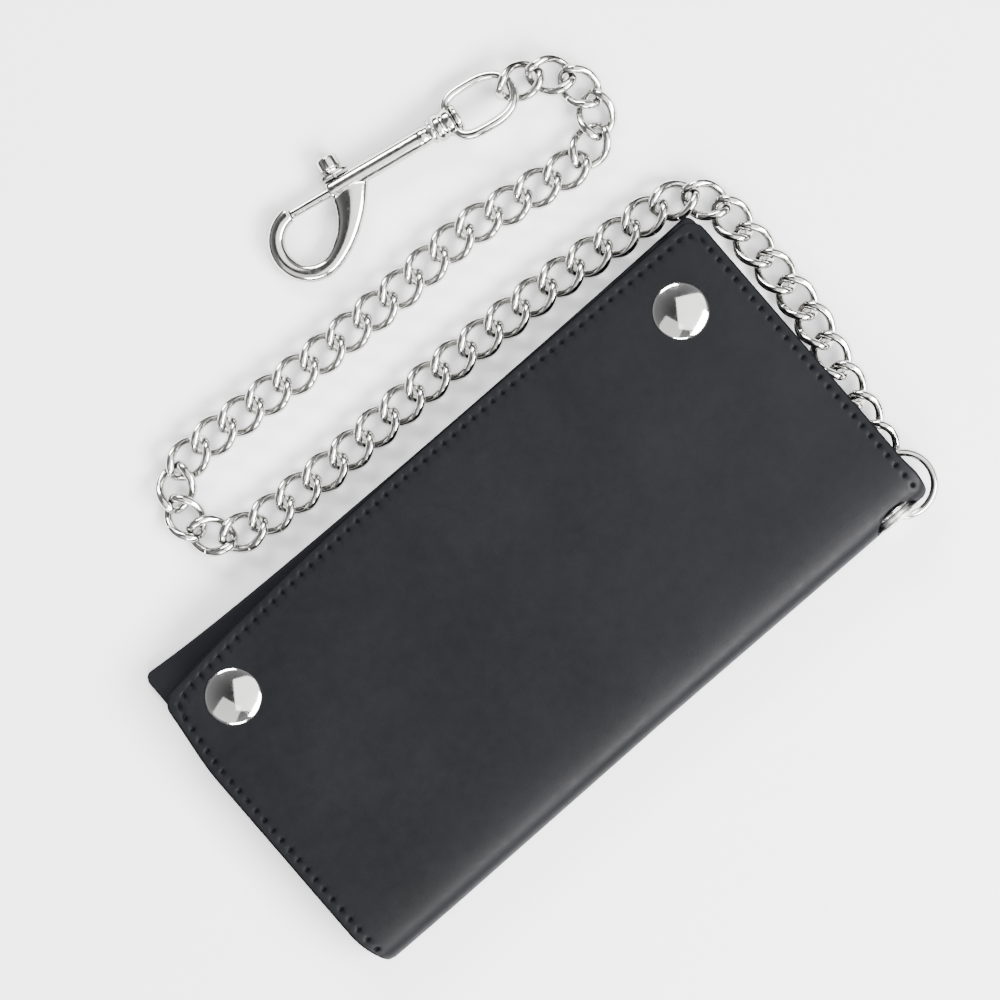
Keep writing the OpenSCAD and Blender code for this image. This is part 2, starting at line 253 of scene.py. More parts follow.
def fillet(points, radius, steps=4):
    """A profile with its corners rounded."""
    pts = [np.array(p, float) for p in points]
    out = [pts[0]]
    for a, p, b in zip(pts, pts[1:], pts[2:]):
        la, lb = np.linalg.norm(a - p), np.linalg.norm(b - p)
        d = min(radius, la * 0.48, lb * 0.48)
        p0, p2 = p + (a - p) / la * d, p + (b - p) / lb * d
        out += [(1 - t) ** 2 * p0 + 2 * t * (1 - t) * p + t * t * p2 for t in np.linspace(0, 1, steps + 1)]
    return out + [pts[-1]]


def lathe(profile, turn, centre, sides=72, closed=False):
    """Points (radius, height) turned about local z, then rotated and moved."""
    prof = np.array(profile, float)
    ang = np.linspace(0, 2 * math.pi, sides, endpoint=False)
    radius, height = prof[:, 0], prof[:, 1]
    verts = np.concatenate([np.stack([radius * math.cos(a), radius * math.sin(a), height], 1) for a in ang])
    m = len(prof)
    faces = []
    for i in range(sides):
        k = (i + 1) % sides
        for j in range(m if closed else m - 1):
            j2 = (j + 1) % m
            faces.append((i * m + j, k * m + j, k * m + j2, i * m + j2))
    return verts @ np.asarray(turn).T + np.asarray(centre), faces


def sweep(points, ups, wide, high, sides=16, closed=False, power=2.0):
    """A tube along points. wide is its half size across ups, high along it."""
    pts, ups = np.asarray(points, float), np.asarray(ups, float)
    tan = (np.roll(pts, -1, 0) - np.roll(pts, 1, 0)) if closed else np.gradient(pts, axis=0)
    tan /= np.linalg.norm(tan, axis=1)[:, None]
    side = np.cross(tan, ups)
    side /= np.linalg.norm(side, axis=1)[:, None]
    up = np.cross(side, tan)
    ang = np.linspace(0, 2 * math.pi, sides, endpoint=False)
    c = np.sign(np.cos(ang)) * np.abs(np.cos(ang)) ** (2 / power)
    s = np.sign(np.sin(ang)) * np.abs(np.sin(ang)) ** (2 / power)
    n = len(pts)
    wide, high = np.broadcast_to(wide, n), np.broadcast_to(high, n)
    across = side[:, None] * (wide[:, None] * c)[..., None]
    along_up = up[:, None] * (high[:, None] * s)[..., None]
    verts = (pts[:, None] + across + along_up).reshape(-1, 3)
    faces = []
    for k in range(n if closed else n - 1):
        ring, following = k * sides, ((k + 1) % n) * sides
        for i in range(sides):
            j = (i + 1) % sides
            faces.append((ring + i, ring + j, following + j, following + i))
    if not closed:
        faces += [tuple(range(sides - 1, -1, -1)), tuple(range((n - 1) * sides, n * sides))]
    return verts, faces


def join(*parts):
    """Several (vertices, faces) pairs as one."""
    verts, faces, base = [], [], 0
    for v, f in parts:
        verts.append(np.asarray(v))
        faces += [tuple(i + base for i in face) for face in f]
        base += len(v)
    return np.concatenate(verts), faces


def taper(e, half, reach=0.8):
    """Half thickness of a sheet at distance e from its rounded edge."""
    return half * (1 - (1 - np.clip(e / reach, 0, 1)) ** 2.6) ** (1 / 2.6)


def lines(total, holes=(), extra=(), step=1.6):
    """Grid lines across total: close at both ends, five at each hole, evenly filled between."""
    near = [0, 0.06, 0.16, 0.32, 0.55, 0.85]
    marks = near + [total - d for d in near] + list(extra)
    for h in holes:
        marks += [h - 0.8, h - 0.36, h, h + 0.36, h + 0.8]
    marks = sorted(v for v in marks if -1e-9 <= v <= total + 1e-9)
    kept = [marks[0]]
    for v in marks[1:]:
        gap = v - kept[-1]
        if gap < (0.05 if v < 1 or v > total - 1 else 0.15):
            continue
        count = int(math.ceil(gap / step))
        kept += [kept[-1] + gap * k / count for k in range(1, count)] + [v]
    kept[-1] = total
    return np.array(kept)


def sheet(name, xs, ys, zs, ny, nz, e, half, mat, body, replaces=(), cap=False, top=None, values=None):
    """A closed sheet from its mid surface's grid, normals in the YZ plane and edge distances e.

    top is added to the outer side only, and the attribute for the awl holes' painted shade is kept off the
    inner side.
    """
    h = taper(e, half)
    up = h + (top if top is not None else 0) * np.clip(e / 0.8, 0, 1)
    rows, cols = xs.shape
    outer = np.stack([xs, ys + ny * up, zs + nz * up], -1).reshape(-1, 3)
    inner = np.stack([xs, ys - ny * h, zs - nz * h], -1).reshape(-1, 3)
    n = rows * cols
    faces = []
    for j in range(rows - 1):
        for i in range(cols - 1):
            a, b, c, d = j * cols + i, j * cols + i + 1, (j + 1) * cols + i + 1, (j + 1) * cols + i
            faces += [(a, b, c, d), (n + a, n + d, n + c, n + b)]
    if cap:
        faces += [(i, n + i, n + i + 1, i + 1) for i in range(cols - 1)]
    flat = {k: np.concatenate([v.reshape(-1), np.zeros(n) if k == "painted_hole_shade" else v.reshape(-1)])
            for k, v in (values or {}).items()}
    return build(name, np.concatenate([outer, inner]), faces, mat, body, replaces, sharp=60, values=flat)


# ---- cover leather ----


class Profile:
    """A cover half's mid line in the YZ plane, s running from the fold to the free edge."""

    def __init__(self, corner, end_y, z, side):
        a, b, c, d = (np.array(p, float) for p in corner)
        t = np.linspace(0, 1, 160)[:, None]
        curve = (1 - t) ** 3 * a + 3 * (1 - t) ** 2 * t * b + 3 * (1 - t) * t * t * c + t ** 3 * d
        flat = np.stack([np.linspace(curve[-1, 0], end_y + 6, 400)[1:], np.full(399, z)], 1)
        self.p = np.concatenate([curve, flat])
        self.s = np.r_[0, np.cumsum(np.linalg.norm(np.diff(self.p, axis=0), axis=1))]
        tan = np.gradient(self.p, self.s, axis=0)
        tan /= np.linalg.norm(tan, axis=1)[:, None]
        self.n = np.stack([-side * tan[:, 1], side * tan[:, 0]], 1)
        self.end_y = end_y
        self.length = float(np.interp(end_y, self.p[160:, 0], self.s[160:]))

    def at(self, s):
        """y, z and the outward normal's y and z at s."""
        return [np.interp(s, self.s, column) for column in (*self.p.T, *self.n.T)]


def front_free(x):
    """y of the front half's free edge, drawn back toward the left."""
    return 46.6 - 5.2 * (np.maximum(10 - x, 0) / 100) ** 2


def back_free(x):
    """y of the back half's free edge, bowed out toward its ends."""
    return 46.9 + 0.9 * (x / 85.0) ** 2 + 1.2 * np.clip(-x / 92, 0, 1) ** 6


FRONT = Profile([(-46, FOLD_Z), (-46, 11.2), (-39, 12), (-26, 12)], 46.0, 12.0, 1)
BACK = Profile([(-46, FOLD_Z), (-46, 3.0), (-43.5, 1), (-38, 1)], 47.0, 1.0, -1)


def stitch_row(prof, free, sides_from, corner=4.0):
    """Hole places (x, s) along both ends and the free edge, evenly spaced on one rounded path."""

    def top_s(x):
        return prof.length + float(free(x)) - prof.end_y - STITCH_IN - 0.2

    xe = HALF_L - STITCH_IN
    right, left = top_s(xe) - corner, top_s(-xe) - corner
    quarter = np.linspace(0, math.pi / 2, 14)[1:]
    path = [(xe, s) for s in np.linspace(sides_from, right, 60)]
    path += [(xe - corner + corner * math.cos(a), right + corner * math.sin(a)) for a in quarter]
    path += [(x, top_s(x)) for x in np.linspace(xe - corner, -xe + corner, 160)[1:]]
    path += [(-xe + corner - corner * math.sin(a), left + corner * math.cos(a)) for a in quarter]
    path += [(-xe, s) for s in np.linspace(left, sides_from, 60)[1:]]
    path = np.array(path)
    d = np.r_[0, np.cumsum(np.linalg.norm(np.diff(path, axis=0), axis=1))]
    count = int(round(d[-1] / STITCH_PITCH))
    at = np.linspace(0, d[-1], count + 1)
    return np.stack([np.interp(at, d, path[:, 0]), np.interp(at, d, path[:, 1])], 1), path


def curl(x):
    """How far the fold is drawn in near its two ends, which rounds them as seen from above."""
    drawn = 0 * x
    for end, r in ((HALF_L, 2.4), (-HALF_L, 4.2)):
        d = np.minimum(np.abs(end - x), r)
        drawn = drawn + r - np.sqrt(np.maximum(r * r - (r - d) ** 2, 0))
    return drawn


def spread(x, y, s):
    """The moves along x and y that bow the left end out and let the fold's left end down."""
    rise = np.clip((42 - y) / 26, 0, 1)
    bow = 2.3 * rise * rise * (3 - 2 * rise) * (1 - 0.5 * np.clip((-y - 36) / 11, 0, 1) ** 2)
    left = np.clip((-50 - x) / 42.5, 0, 1)
    return -bow * left ** 1.5, -1.1 * np.clip(-x / 92.5, 0, 1) * np.clip(1 - s / 30, 0, 1) ** 2


def crown_lift(x, y, s, e):
    """How far the front half rises: more away from its edges, less round the snap caps."""
    lift = 0.28 * np.clip(e / 22, 0, 1) ** 0.7
    lift = lift + 0.1 * np.sin(x / 23.0 + 0.6) * np.sin(s / 31.0) * np.clip(e / 10, 0, 1)
    for cx, cy in SNAPS.values():
        lift = lift - 0.32 * np.exp(-(np.hypot(x - cx, y - cy) / 11.0) ** 2)
    return lift


def nearest(points, marks, step=4000):
    """Each point's distance to the nearest mark, a few thousand points at a time."""
    parts = [points[k:k + step] for k in range(0, len(points), step)]
    return np.concatenate([np.sqrt(((q[:, None] - marks[None]) ** 2).sum(2)).min(1) for q in parts])


def cover_half(name, prof, free, half, row, path, nodes, crown):
    """One half of the cover with its groove and awl holes, and a crown on the front.

    Returns the piece, and a function from (x, s) to a place just under its outer face.
    """
    holes_x = row[(np.abs(row[:, 0]) < HALF_L - STITCH_IN - 1.0), 0] + HALF_L
    holes_s = prof.length - row[np.abs(row[:, 0]) > HALF_L - STITCH_IN - 0.01, 1]
    across = (-0.8, -0.36, 0, 0.36, 0.8)
    side = [STITCH_IN + d for d in across]
    u = lines(2 * HALF_L, holes_x, side + [2 * HALF_L - d for d in side])
    v = lines(prof.length, holes_s, [STITCH_IN + 0.2 + d for d in across])[::-1]
    U, V = np.meshgrid(u, v)
    x = U - HALF_L
    s = prof.length - V
    fold = np.clip(1 - s / 12, 0, 1) ** 2
    # rounded corners at the free edge, and a slight draw at the fold's ends
    r = CORNER_FRONT if crown else CORNER_BACK
    cut = np.where(V < r, r - np.sqrt(np.maximum(r * r - (r - V) ** 2, 0)), 0)
    half_x = HALF_L - cut
    x = x * half_x / HALF_L
    x = np.where(x < 0, x * (1 - fold * 0.02), x)
    end_shift = free(x) - prof.end_y
    s = s + end_shift * np.clip((s - prof.length * 0.45) / (prof.length * 0.55), 0, 1)
    e = np.maximum(np.minimum(np.minimum(U, 2 * HALF_L - U), V), 0)
    y, z, ny, nz = prof.at(s)
    y = y + curl(x) * np.clip(1 - s / 13, 0, 1) ** 1.5
    x = x + 0.5 * np.clip((x - 78) / 14.5, 0, 1) * np.exp(-((y + 41) / 3.6) ** 2)
    # distance to the stitched path and to the nearest hole, in the sheet
    flat = np.stack([x.ravel(), s.ravel()], 1)
    to_path = np.full(len(flat), 9.0)
    to_hole = np.full(len(flat), 9.0)
    close = np.nonzero(e.ravel() < 8)[0]
    to_path[close] = nearest(flat[close], path)
    to_hole[close] = nearest(flat[close], row)
    to_path, to_hole = to_path.reshape(x.shape), to_hole.reshape(x.shape)
    groove = GROOVE_DEPTH * np.exp(-(to_path / GROOVE_WIDTH) ** 2)
    top = -groove - HOLE_DEPTH * np.exp(-(to_hole / HOLE_WIDTH) ** 2)
    lift = crown_lift(x, y, s, e) if crown else 0.0 * x
    y, z = y + ny * lift, z + nz * lift
    out_x, out_y = spread(x, y, s)
    x, y = x + out_x, y + out_y
    # painted shade in the awl holes, coloured near black by the material
    painted_hole_shade = np.clip(1.9 * np.exp(-(to_hole / 0.47) ** 2), 0, 1)
    # painted light on the back half toward its free edge, where the front half shades it
    painted_strip_light = 0 * e if crown else np.clip((y - 37) / 7, 0, 1)
    values = {"edge": np.clip(1 - e / 0.7, 0, 1), "painted_hole_shade": painted_hole_shade, "painted_strip_light": painted_strip_light}
    obj = sheet(name, x, y, z, ny, nz, e, half, "cover", None, nodes, cap=True, top=top, values=values)

    def surface(px, ps):
        yy, zz, my, mz = (float(w) for w in prof.at(ps))
        inside = min(HALF_L - abs(px), prof.length - ps)
        lift_here = crown_lift(px, yy, ps, inside) if crown else 0.0
        k = half - 0.14 + lift_here
        yy += float(curl(np.array([px]))[0]) * max(1 - ps / 13, 0) ** 1.5
        out_x, out_y = spread(px, yy + my * lift_here, ps)
        return np.array([px + out_x, yy + my * k + out_y, zz + mz * k]), np.array([0, my, mz])

    return obj, surface


def threads(name, row, surface, radius=0.17, sink=0.5, rise=-0.07):
    """A saddle of thread from each hole to the next, its ends going down into the holes."""
    parts = []
    for a, b in zip(row, row[1:]):
        pts, ups = [], []
        for t in np.linspace(0.06, 0.94, 9):
            q = a + (b - a) * t
            p, n = surface(float(q[0]), float(q[1]))
            pts.append(p + n * (rise - sink * abs(2 * t - 1) ** 5))
            ups.append(n)
        w = radius * (1 - 0.25 * np.abs(np.linspace(-1, 1, 9)) ** 4)
        parts.append(sweep(pts, ups, w, w * 0.85, sides=7))
    return build(name, *join(*parts), "thread")


def cylinder(name, start, end, up, wide, high):
    """An oval cylinder to cut with."""
    return build(name, *sweep([start, end], [up] * 2, wide, high, 72), "cover")


def carve(obj, cutter):
    """Takes the cutter out of the piece, and then removes the cutter."""
    modified(obj, ("BOOLEAN", {"object": cutter, "operation": "DIFFERENCE", "solver": "EXACT"}))
    bpy.data.objects.remove(cutter)


front_row, front_path = stitch_row(FRONT, front_free, 5.5)
back_row, back_path = stitch_row(BACK, back_free, 8.0)
front, front_surface = cover_half(
    "cover_front", FRONT, front_free, 1.0, front_row, front_path, ("front_cover",), True)
back, back_surface = cover_half(
    "cover_back", BACK, back_free, 0.97, back_row, back_path, ("back_cover", "spine"), False)
# a notch in the front half over the eyelet, and the eyelet's bore through the fold
bite_x = EYELET[0] - 0.3
carve(front, cylinder("bite", (bite_x, -47.6, 7.3), (bite_x, -47.6, 15), (0, 1.0, 0), 6.9, 3.2))
bore_x, bore_z = EYELET[0], EYELET[2]
carve(back, cylinder("bore", (bore_x, -50, bore_z), (bore_x, -43, bore_z), (0, 0, 1.0), 5.06, 5.06))
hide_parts("front_cover")
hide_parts("back_cover", "spine")
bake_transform(front)
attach(back, "back")
front_thread = threads("stitching_front", front_row, front_surface)
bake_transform(front_thread)
back_thread = threads("stitching_back", back_row, back_surface, rise=-0.11)
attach(back_thread, "back")

# ---- inner pieces ----


def panel(name, x0, x1, y0, y1, z, thick, body, node, down=False, hem=True, radius=2.0, sag=0.0):
    """A sewn inner panel, soft at its edges, cut away beside the eyelet where it reaches the fold."""
    u, v = lines(x1 - x0, step=3.0), lines(y1 - y0, extra=[2.0, 2.3, 2.6], step=2.0)
    U, V = np.meshgrid(u, v)
    width, height = x1 - x0, y1 - y0
    W = height - V
    cut = np.where(W < radius, radius - np.sqrt(np.maximum(radius ** 2 - (radius - W) ** 2, 0)), 0)
    y = y0 + V
    step = 1 / (1 + np.exp(np.clip((y + 7.2) / 0.8, -40, 40))) if x1 > 82 else 0 * y
    left, right = x0 + cut, x1 - cut - step * (x1 - 81.0)
    x = left + (right - left) * U / width
    e = np.maximum(np.minimum(np.minimum(U, width - U), np.minimum(V, W)), 0)
    sign = -1.0 if down else 1.0
    sewn = np.minimum(np.minimum(U, width - U), V)
    ripple = sag * np.clip(sewn / 14, 0, 1) * np.sin(x / 19.0) * np.clip(V / height, 0, 1)
    soft = 0.12 * np.clip(sewn / 9, 0, 1) + ripple
    top = -0.09 * np.exp(-((sewn - 2.3) / 0.4) ** 2)
    if hem:
        top = top - 0.1 * np.exp(-((W - 2.3) / 0.4) ** 2)
    zz = z + sign * soft
    one = np.ones_like(x)
    values = {"edge": np.clip(1 - e / 0.6, 0, 1), "painted_hole_shade": 0 * e}
    sheet(name, x, y, zz, 0 * one, sign * one, e, thick / 2, "inner", body, (node,), top=top, values=values)
    rows = [np.array([(xx, y1 - 2.3) for xx in np.arange(x0 + 4, x1 - 3.9, 3.0)])] if hem else []
    right_from = -4.5 if x1 > 82 else y0 + 3
    rows.append(np.array([(x0 + 2.3, yy) for yy in np.arange(y0 + 3, y1 - 3.5, 3.0)]))
    rows.append(np.array([(x1 - 2.3, yy) for yy in np.arange(max(right_from, y0 + 3), y1 - 3.5, 3.0)]))

    def surface(px, py):
        sw = min(px - x0, x1 - px, py - y0)
        k = z + sign * (thick / 2 + 0.12 * min(max(sw / 9, 0), 1) - 0.07)
        return np.array([px, py, k]), np.array([0, 0, sign])

    for k, row in enumerate(r for r in rows if len(r) > 1):
        obj = threads(f"{name}_stitching_{k + 1}", row, surface, radius=0.22, sink=0.35, rise=0.06)
        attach(obj, body)


panel("note_pocket", -89, 89, -24, 18, 2.95, 1.0, "back", "bill_pocket", sag=0.05)
panel("slip_pocket_panel", -88.7, 88.7, -23.7, 2, 4.25, 0.9, "back", "slip_pocket", sag=0.05)
panel("card_base_panel", -89, 89, -24, 41, 10.4, 1.1, "front", "card_base", down=True, hem=False, radius=3.0)
for k, (mouth, z) in enumerate(((22, 9.1), (11, 7.9), (0, 6.75))):
    inset = 0.2 * k
    panel(f"card_pocket_panel_{k + 1}", -88.8 + inset, 88.8 - inset, -23.8 + inset, mouth, z, 0.85,
          "front", f"card_pocket_{k + 1}", down=True)
for side, (cx, cy) in SNAPS.items():
    panel(f"stud_patch_panel_{side}", cx - 8, cx + 8, cy - 8, cy + 8, 2.72, 1.3,
          "back", f"stud_patch_{side}", radius=2.5)

# ---- snaps, eyelet and ring ----

UPRIGHT, AXIS_Y = np.eye(3), rot("X", 90)

# profiles of (radius, height); a closed one comes back to its first point
DOME_R, DOME_TOP = 6.9, 14.8
dome = [(0, DOME_TOP)]
dome += [(r, DOME_TOP - 1.45 * (r / DOME_R) ** 2) for r in np.linspace(0.3, DOME_R, 22)]
dome += [(7.2, 13.18), (7.42, 13.02), (7.4, 12.9), (6.9, 12.85), (2.0, 12.85), (2.0, 8.6), (2.6, 8.5),
         (2.6, 8.2), (0, 8.2)]
socket = fillet([(3.72, 6.05), (4.4, 6.0), (5.2, 6.25), (6.2, 7.3), (6.28, 9.6), (2.1, 9.65),
                 (2.1, 8.75), (3.7, 8.65), (3.72, 6.05)], 0.3)[:-1]
stud = fillet([(1.82, 3.5), (5.0, 3.5), (5.0, 4.25), (2.85, 4.3), (2.8, 6.6), (3.45, 7.0), (3.4, 7.9),
               (2.4, 7.85), (1.82, 7.2), (1.82, 3.5)], 0.22)[:-1]
stud_post = fillet([(0, 0.02), (4.3, 0.02), (4.5, 0.3), (4.3, 0.6), (1.7, 0.6), (1.7, 7.4), (2.15, 7.45),
                    (2.1, 7.68), (0, 7.68)], 0.15)
for side, (cx, cy) in SNAPS.items():
    at = (cx, cy, 0)
    build(f"snap_cap_{side}_turned", *lathe(dome, UPRIGHT, at, 128),
          "mirror", "front", (f"snap_cap_{side}",), sharp=65)
    build(f"snap_socket_{side}_turned", *lathe(socket, UPRIGHT, at, 96, closed=True),
          "plain", "front", (f"snap_socket_{side}",))
    build(f"snap_stud_{side}_turned", *lathe(stud, UPRIGHT, at, 96, closed=True),
          "bright", "back", (f"snap_stud_{side}",))
    build(f"stud_post_{side}_turned", *lathe(stud_post, UPRIGHT, at, 72),
          "bright", "back", (f"stud_post_{side}",))

outer_rim = fillet([(3.75, 0.2), (4.3, 0.72), (5.9, 0.7), (6.5, 0.2), (6.4, -0.35), (5.6, -0.5),
                    (5.0, -1.1), (5.0, -1.5), (4.5, -1.5), (4.5, -2.6), (4.95, -3.0), (3.75, -3.0),
                    (3.75, 0.2)], 0.24)[:-1]
build("eyelet_turned", *lathe(outer_rim, AXIS_Y, EYELET, 96, closed=True), "satin", "back", ("eyelet",))
inner_rim = fillet([(4.55, -1.62), (5.0, -1.62), (5.5, -1.8), (5.95, -2.05), (5.8, -2.6), (4.55, -2.6),
                    (4.55, -1.62)], 0.16)[:-1]
build("eyelet_washer_turned", *lathe(inner_rim, AXIS_Y, EYELET, 96, closed=True),
      "bright", "back", ("eyelet_washer",))

RING_R, RING_WIRE, RING_POINTS = 8.2, 1.0, 140
RING_TO = math.radians(36.6)  # from the eyelet's middle to the ring's centre
RING = np.array([82 + RING_R * math.cos(RING_TO), -46 + RING_R * math.sin(RING_TO), 6.4])
LEVEL = [0, 0, 1.0]
turn = np.linspace(0, 2 * math.pi, RING_POINTS, endpoint=False)
ring_points = RING + np.stack([RING_R * np.cos(turn), RING_R * np.sin(turn), 0 * turn], 1)
ring_half = RING_WIRE * (1 - 0.1 * np.exp(-((turn - 2.4) / 0.02) ** 2))
ring_mesh = sweep(ring_points, np.tile(LEVEL, (RING_POINTS, 1)), ring_half, ring_half, 24, closed=True)
build("ring_wire", *ring_mesh, "bright", "ring", ("chain_ring",))

# ---- chain ----

LINK_A, LINK_B, TWIST, PITCH, WIRE = 5.9, 4.35, -48.0, 8.8, 1.15
# each group's number of links, heading, climb and roll in degrees
RUNS = [
    (3, 78.5, -2.4, 15), (2, 77, -6.2, 6), (1, 88, -4.2, 0), (3, 88.5, 0, 0), (1, 119.5, 0, 0),
    (1, 160, 0, 0), (1, 177, 0, 0), (3, 174.5, 0, 0), (4, 177.5, 0, 0), (4, 181, 0, 0), (3, 177.5, 0, 0),
    (1, 166, 0, 0), (1, 126, 0, 0), (1, 86, 0, 0), (1, 45.5, 0, 0), (1, 5.5, 0, 0), (4, -4, 0, 0),
    (3, -1.5, 0, 0), (3, 1.5, 0, 0), (3, -10, 0, 0), (1, -9, 0, 0), (1, 18.5, 0, 0), (1, 58.5, 0, 0),
    (1, 99, 0, 0), (1, 135, 5, -6), (1, 169, 7, -15),
]


def link_mesh():
    """One twisted link, with the fine gap where its wire's ends meet."""
    fine = [math.radians(90 + d) for d in (-2.4, -1.5, -0.9, 0.9, 1.5, 2.4)]
    t = np.array(sorted(list(np.linspace(0, 2 * math.pi, 56, endpoint=False)) + fine))
    f = np.radians(TWIST) * np.cos(t)
    y = LINK_B * np.sin(t)
    pts = np.stack([LINK_A * np.cos(t), y * np.cos(f), y * np.sin(f)], 1)
    ups = np.stack([0 * t, -np.sin(f), np.cos(f)], 1)
    gap = np.where(np.abs(np.degrees(t) - 90) < 1.2, 0.9, 1.0)
    return sweep(pts, ups, WIRE * gap * 1.02, WIRE * gap * 0.98, 16, closed=True)


def heading(h, c):
    """The unit vector at a heading and climb in degrees."""
    h, c = math.radians(h), math.radians(c)
    return np.array([math.cos(h) * math.cos(c), math.sin(h) * math.cos(c), math.sin(c)])


link_verts, link_faces = link_mesh()
here = RING + (RING_R - 1.2) * heading(77, 0) + np.array([0, 0, 0.15])
for index, (count, h, climb, roll) in enumerate(RUNS):
    basis = rot("Z", h) @ rot("Y", -climb) @ rot("X", roll)
    parts = []
    for _ in range(count):
        parts.append((link_verts @ basis.T + here + PITCH / 2 * heading(h, climb), link_faces))
        here = here + PITCH * heading(h, climb)
    name = f"chain_{index + 1:02d}"
    build(f"{name}_links", *join(*parts), "bright", name, (name,))
CHAIN_END = here

# ---- hook: local x runs from the bail's outer end, y to the jaw's side ----

HOOK = rot("Z", 169.5) @ rot("Y", 1.89)


def hooked(mesh, turn_x=0.0):
    """A mesh in the hook's own frame, turned about its axis and moved to the chain's end."""
    verts = np.asarray(mesh[0]) @ rot("X", turn_x).T
    return (verts - np.array([3.0, 0, 0])) @ HOOK.T + CHAIN_END, mesh[1]


ALONG_X = rot("Y", 90)


def turned(profile, sides=64, closed=False):
    """A profile of (x, radius) along the hook's axis."""
    return lathe([(r, x) for x, r in profile], ALONG_X, (0, 0, 0), sides, closed)


# the bail: a rounded loop, squarer at the collar, its points then evenly spaced
BAIL_POINTS, BAIL_ROLL = 120, 15
a = np.linspace(0, 2 * math.pi, BAIL_POINTS, endpoint=False)
power = np.where(np.cos(a) > 0, 3.6, 2.4)
loop_x = 10 + 9.0 * np.sign(np.cos(a)) * np.abs(np.cos(a)) ** (2 / power)
loop_y = 6.5 * np.sign(np.sin(a)) * np.abs(np.sin(a)) ** (2 / power)
bail_points = np.stack([loop_x, loop_y, 0 * a], 1)
bail_round = np.vstack([bail_points, bail_points[:1]])
run = np.r_[0, np.cumsum(np.linalg.norm(np.diff(bail_round, axis=0), axis=1))]
even = np.linspace(0, run[-1], BAIL_POINTS, endpoint=False)
bail_points = np.stack([np.interp(even, run, column) for column in bail_round.T], 1)
bail_half = 1.2 + 0.16 * np.clip((bail_points[:, 0] - 3.0) / 4, 0, 1)
bail_wire = sweep(bail_points, np.tile(LEVEL, (BAIL_POINTS, 1)), bail_half, bail_half, 20,
                  closed=True, power=2.1)
collar = turned(fillet([(18.2, 1.55), (18.2, 3.3), (18.9, 3.8), (20.4, 3.8), (20.8, 3.45), (21.4, 3.45),
                        (21.8, 3.8), (23.1, 3.8), (23.7, 3.3), (23.7, 1.55), (18.2, 1.55)], 0.3)[:-1],
                72, closed=True)
build("bail_cast", *hooked(join(bail_wire, collar), BAIL_ROLL), "bright", "bail", ("swivel_bail",))
post = turned(fillet([(16.2, 0), (16.2, 2.9), (16.7, 3.5), (17.5, 3.5), (17.9, 3.0), (17.9, 1.5),
                      (24.2, 1.5), (24.2, 1.58), (28, 1.58), (28, 0)], 0.3), 56)
build("swivel_post_turned", *hooked(post), "bright", "hook", ("swivel_post",))

# jaw and arm: one bar, widening to a web where it meets the barrel
JAW, JAW_R, JAW_START, JAW_END, JAW_POINTS = np.array([66.2, 8.1]), 8.45, -82.5, 115, 64
arc = np.radians(np.linspace(JAW_START, JAW_END, JAW_POINTS))
loop = JAW + JAW_R * np.stack([np.cos(arc), np.sin(arc)], 1)
leave = np.array([-math.sin(arc[-1]), math.cos(arc[-1])])
b0, b1, b2, b3 = loop[-1], loop[-1] + 5 * leave, np.array([52.8, 9.0]), np.array([50.4, 1.2])
t = np.linspace(0, 1, 26)[1:, None]
arm = (1 - t) ** 3 * b0 + 3 * (1 - t) ** 2 * t * b1 + 3 * (1 - t) * t * t * b2 + t ** 3 * b3
bar = np.vstack([loop, arm])
grow = np.concatenate([np.zeros(JAW_POINTS), t[:, 0]])
wide = 2.3 + 0.15 * np.sin(np.linspace(0, 1, len(bar)) * 2.2) + 0.9 * grow + 2.0 * grow ** 3
high = 2.3 - 0.1 * grow
bar_points = np.column_stack([bar, 0 * bar[:, 0]])
jaw = sweep(bar_points, np.tile(LEVEL, (len(bar), 1)), wide, high, 28, power=2.3)
barrel = turned(fillet([(24, 0), (24, 3.3), (24.9, 3.4), (25.2, 2.5), (26.6, 2.5), (26.9, 2.72),
                        (28.0, 2.72), (28.3, 2.58), (53.0, 2.7), (55.0, 2.7), (55.5, 2.3), (55.5, 0)],
                       0.25), 72)
body = build("hook_cast", *hooked(join(jaw, barrel)), "bright")
modified(body, ("REMESH", {"mode": "VOXEL", "voxel_size": 0.00024}),
         ("SMOOTH", {"factor": 0.5, "iterations": 5}))
# the knob's slot in the barrel
SLOT_HALF = 1.0
slot = sweep([(42.0, -3.6, 0), (53.2, -3.6, 0)], [(0, 1.0, 0)] * 2, SLOT_HALF, 2.4, 24, power=8)
carve(body, build("slot_cut", *hooked(slot), "plain"))
body.data.materials.clear()
body.data.materials.append(MATS["bright"])
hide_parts("hook_body")
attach(body, "hook")

rod = turned(fillet([(38, 0), (38, 0.65), (40, 0.65), (40, 1.5), (41, 1.5), (41, 1.4), (66.6, 1.4),
                     (67.1, 1.15), (67.1, 0)], 0.15), 48)
build("bolt_rod", *hooked(rod), "bright", "bolt", ("bolt",))
KNOB_AT, SADDLE_SQUEEZE = (52, 0, 0), 0.65
knob = lathe(fillet([(0, 1.3), (0.9, 1.3), (0.9, 4.0), (2.3, 4.0), (2.5, 4.6), (3.0, 5.1), (3.0, 7.9),
                     (2.5, 8.5), (0, 8.5)], 0.3), AXIS_Y, KNOB_AT, 56)
saddle = lathe(fillet([(0, 3.1), (3.9, 3.1), (4.0, 3.5), (3.9, 4.0), (0, 4.0)], 0.25), AXIS_Y, KNOB_AT, 56)
saddle[0][:, 2] *= SADDLE_SQUEEZE
build("thumb_knob_turned", *hooked(join(knob, saddle)), "bright", "bolt", ("thumb_knob",))

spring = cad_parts["bolt_spring"]
spring.data.materials.clear()
spring.data.materials.append(MATS["plain"])

# ---- stage, light and camera ----

